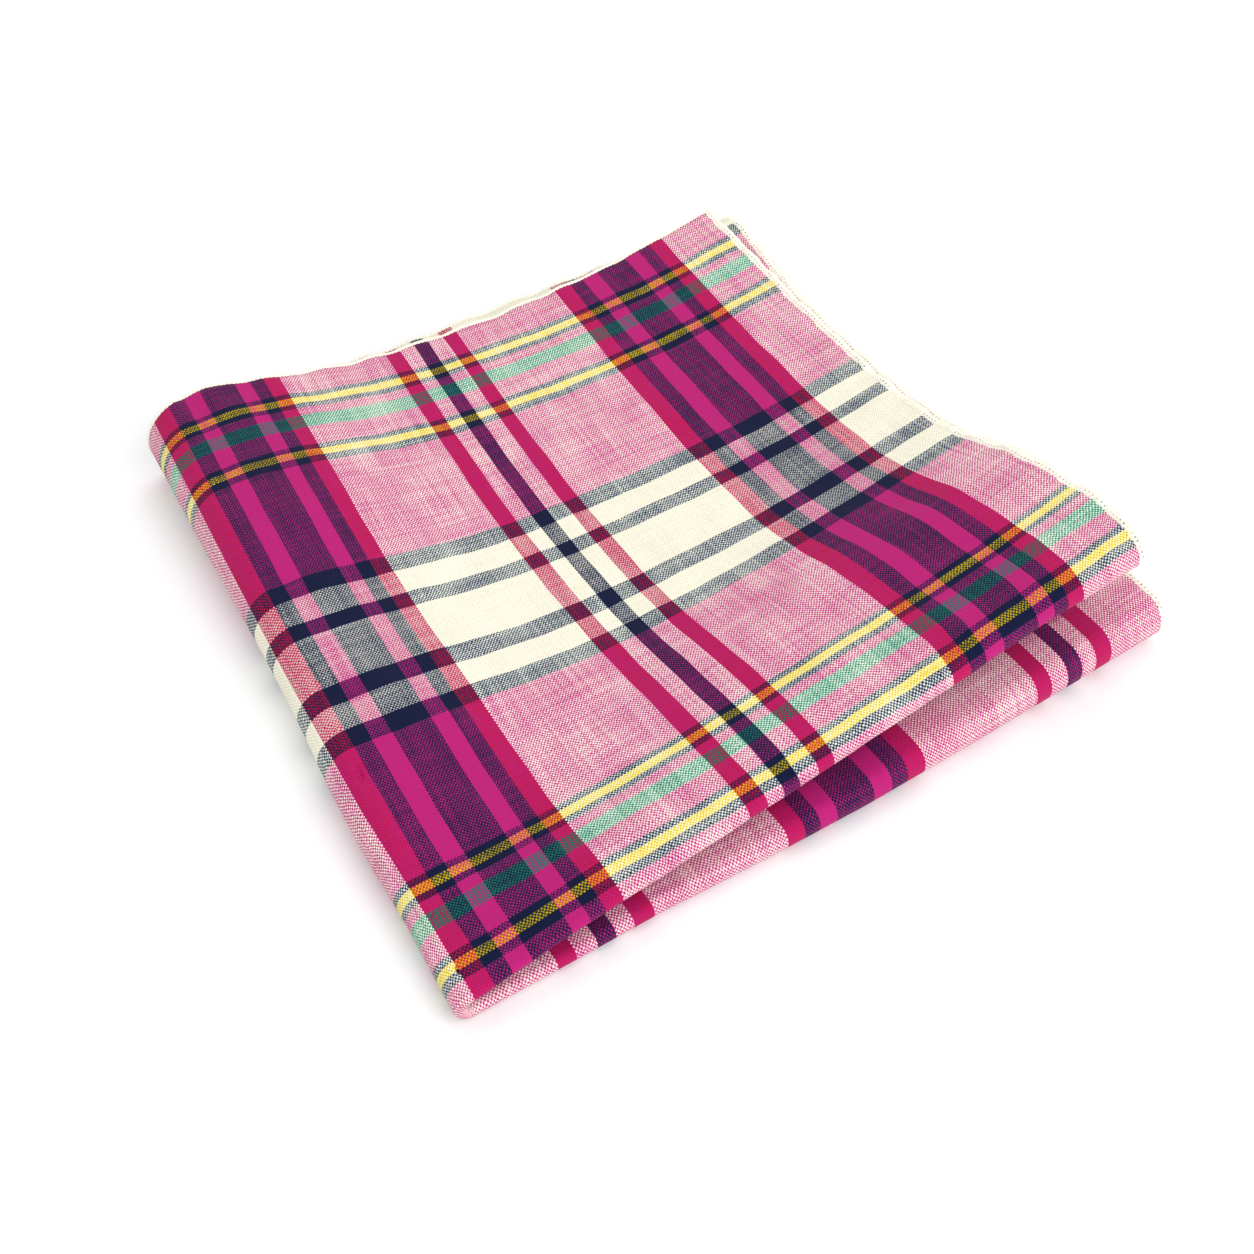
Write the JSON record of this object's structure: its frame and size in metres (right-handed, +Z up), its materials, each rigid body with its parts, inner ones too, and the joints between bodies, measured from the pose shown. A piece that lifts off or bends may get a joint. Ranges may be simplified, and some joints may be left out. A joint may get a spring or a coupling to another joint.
{
  "type": "pocket square",
  "caption": "Square woven cotton pocket cloth in a madras plaid, overlocked on every edge, folded twice into a soft quarter with a fat left fold and a rolled front.",
  "frame": {"origin": "centre of the folded cloth's footprint, on the surface it lies on", "axes": "+Z up, +X to the right from the fat left fold to the open hems, +Y from the rolled front fold to the back hems"},
  "size_m": [0.1835, 0.1667, 0.0288],
  "materials": {
    "cloth": "matt plain-woven cotton, yarn-dyed plaid in pink, crimson, purple, navy, cream, yellow and green"
  },
  "bodies": {
    "root": {"cloth": "cloth"}
  },
  "joints": []
}
